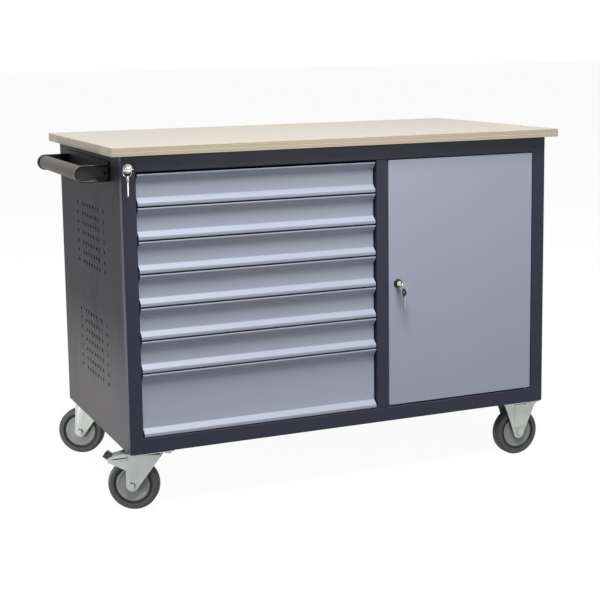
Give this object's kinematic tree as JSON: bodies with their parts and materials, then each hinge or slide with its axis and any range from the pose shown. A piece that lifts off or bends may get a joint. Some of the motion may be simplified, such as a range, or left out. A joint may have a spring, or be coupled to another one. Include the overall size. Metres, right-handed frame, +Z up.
{
  "type": "mobile drawer cabinet",
  "caption": "Mobile workshop cabinet: sheet steel body with a stack of drawers beside a lockable door, plywood worktop, push handle, and swivel and fixed casters.",
  "frame": {"origin": "on the floor, under the middle of the whole object's box", "axes": "+X to the right along the front, +Y from the drawers towards the rear, +Z up"},
  "size_m": [1.259, 0.645, 0.881],
  "materials": {
    "dark_frame": "anthracite powder coat, satin",
    "silver_paint": "silver grey powder coat, satin",
    "pale_grey_paint": "light grey powder coat, satin",
    "zinc_sheet": "zinc plated rolled sheet",
    "zinc_parts": "zinc plated pressings and fasteners",
    "plywood": "clear lacquered multiplex, pale top and layered edge",
    "black_plastic": "black moulded plastic, fine grain",
    "grip_plastic": "dark grey ribbed grip",
    "lock_chrome": "bright nickel plate",
    "key_steel": "nickel plated key steel",
    "caster_rubber": "solid dark grey rubber",
    "hub_plastic": "grey moulded plastic"
  },
  "bodies": {
    "cabinet": {"left_side_panel": "dark_frame", "right_side_panel": "dark_frame", "left_post": "dark_frame", "right_post": "dark_frame", "base_panel": "dark_frame", "top_panel": "dark_frame", "back_panel": "dark_frame", "centre_partition": "dark_frame", "rear_upright": "zinc_sheet", "worktop": "plywood", "shelf": "pale_grey_paint", "shelf_clips": "zinc_sheet", "handle_bracket": "black_plastic", "handle_grip": "grip_plastic", "cabinet_slides": "zinc_sheet", "drawer_lock": "lock_chrome", "door_pins": "zinc_parts", "swivel_plates": "zinc_parts", "fixed_forks": "zinc_parts"},
    "drawer_1": {"drawer_1_front": "silver_paint", "drawer_1_box": "pale_grey_paint", "drawer_1_slides": "zinc_sheet"},
    "drawer_2": {"drawer_2_front": "silver_paint", "drawer_2_box": "pale_grey_paint", "drawer_2_slides": "zinc_sheet"},
    "drawer_3": {"drawer_3_front": "silver_paint", "drawer_3_box": "pale_grey_paint", "drawer_3_slides": "zinc_sheet"},
    "drawer_4": {"drawer_4_front": "silver_paint", "drawer_4_box": "pale_grey_paint", "drawer_4_slides": "zinc_sheet"},
    "drawer_5": {"drawer_5_front": "silver_paint", "drawer_5_box": "pale_grey_paint", "drawer_5_slides": "zinc_sheet"},
    "drawer_6": {"drawer_6_front": "silver_paint", "drawer_6_box": "pale_grey_paint", "drawer_6_slides": "zinc_sheet"},
    "drawer_7": {"drawer_7_front": "silver_paint", "drawer_7_box": "pale_grey_paint", "drawer_7_slides": "zinc_sheet"},
    "lock_bar": {"lock_bar": "zinc_sheet"},
    "drawer_key": {"drawer_key": "key_steel"},
    "drawer_spare_key": {"drawer_spare_key": "key_steel"},
    "door": {"door_panel": "silver_paint", "door_lock": "lock_chrome"},
    "door_key": {"door_key": "key_steel"},
    "door_spare_key": {"door_spare_key": "key_steel"},
    "front_left_swivel": {"front_left_fork": "zinc_parts"},
    "front_left_wheel": {"front_left_tyre": "caster_rubber", "front_left_hub": "hub_plastic"},
    "brake_pedal": {"brake_pedal": "zinc_parts"},
    "rear_left_swivel": {"rear_left_fork": "zinc_parts"},
    "rear_left_wheel": {"rear_left_tyre": "caster_rubber", "rear_left_hub": "hub_plastic"},
    "front_right_wheel": {"front_right_tyre": "caster_rubber", "front_right_hub": "hub_plastic"},
    "rear_right_wheel": {"rear_right_tyre": "caster_rubber", "rear_right_hub": "hub_plastic"}
  },
  "joints": [
    {"name": "drawer_1_slide", "type": "slide", "parent": "cabinet", "child": "drawer_1", "axis": [0, -1, 0], "range_m": [0, 0.4]},
    {"name": "drawer_2_slide", "type": "slide", "parent": "cabinet", "child": "drawer_2", "axis": [0, -1, 0], "range_m": [0, 0.4]},
    {"name": "drawer_3_slide", "type": "slide", "parent": "cabinet", "child": "drawer_3", "axis": [0, -1, 0], "range_m": [0, 0.4]},
    {"name": "drawer_4_slide", "type": "slide", "parent": "cabinet", "child": "drawer_4", "axis": [0, -1, 0], "range_m": [0, 0.4]},
    {"name": "drawer_5_slide", "type": "slide", "parent": "cabinet", "child": "drawer_5", "axis": [0, -1, 0], "range_m": [0, 0.4]},
    {"name": "drawer_6_slide", "type": "slide", "parent": "cabinet", "child": "drawer_6", "axis": [0, -1, 0], "range_m": [0, 0.4]},
    {"name": "drawer_7_slide", "type": "slide", "parent": "cabinet", "child": "drawer_7", "axis": [0, -1, 0], "range_m": [0, 0.4]},
    {"name": "door_hinge", "type": "hinge", "parent": "cabinet", "child": "door", "pos_m": [0.5485, -0.2835, 0.191], "axis": [0, 0, 1], "range_deg": [0, 110]},
    {"name": "drawer_key_turn", "type": "hinge", "parent": "cabinet", "child": "drawer_key", "pos_m": [-0.5295, -0.29, 0.831], "axis": [0, -1, 0], "range_deg": [0, 90]},
    {"name": "lock_bar_slide", "type": "slide", "parent": "cabinet", "child": "lock_bar", "axis": [0, 0, -1], "range_m": [0, 0.0099]},
    {"name": "door_key_turn", "type": "hinge", "parent": "door", "child": "door_key", "pos_m": [0.1665, -0.29, 0.506], "axis": [0, 1, 0], "range_deg": [0, 90]},
    {"name": "drawer_spare_key_swing", "type": "hinge", "parent": "cabinet", "child": "drawer_spare_key", "pos_m": [-0.5365, -0.312, 0.82357], "axis": [0, 1, 0], "range_deg": [-40, 40]},
    {"name": "door_spare_key_swing", "type": "hinge", "parent": "door", "child": "door_spare_key", "pos_m": [0.1735, -0.312, 0.49857], "axis": [0, 1, 0], "range_deg": [-40, 40]},
    {"name": "front_left_swivel_turn", "type": "hinge", "parent": "cabinet", "child": "front_left_swivel", "pos_m": [-0.4865, -0.246, 0.15], "axis": [0, 0, 1], "continuous": true},
    {"name": "front_left_wheel_roll", "type": "hinge", "parent": "front_left_swivel", "child": "front_left_wheel", "pos_m": [-0.51957, -0.22729, 0.0625], "axis": [-0.4924, -0.8704, 0], "continuous": true},
    {"name": "rear_left_swivel_turn", "type": "hinge", "parent": "cabinet", "child": "rear_left_swivel", "pos_m": [-0.4865, 0.262, 0.15], "axis": [0, 0, 1], "continuous": true},
    {"name": "rear_left_wheel_roll", "type": "hinge", "parent": "rear_left_swivel", "child": "rear_left_wheel", "pos_m": [-0.51957, 0.28071, 0.0625], "axis": [-0.4924, -0.8704, 0], "continuous": true},
    {"name": "front_right_wheel_roll", "type": "hinge", "parent": "cabinet", "child": "front_right_wheel", "pos_m": [0.5435, -0.246, 0.0625], "axis": [0, 1, 0], "continuous": true},
    {"name": "rear_right_wheel_roll", "type": "hinge", "parent": "cabinet", "child": "rear_right_wheel", "pos_m": [0.5435, 0.262, 0.0625], "axis": [0, 1, 0], "continuous": true},
    {"name": "brake_pedal_press", "type": "hinge", "parent": "front_left_swivel", "child": "brake_pedal", "pos_m": [-0.54046, -0.21547, 0.13], "axis": [-0.4924, -0.8704, 0], "range_deg": [0, 12]}
  ],
  "couplings": [
    {"joint": "drawer_key_turn", "follows": "lock_bar_slide", "rad_per_m": 158.67}
  ]
}
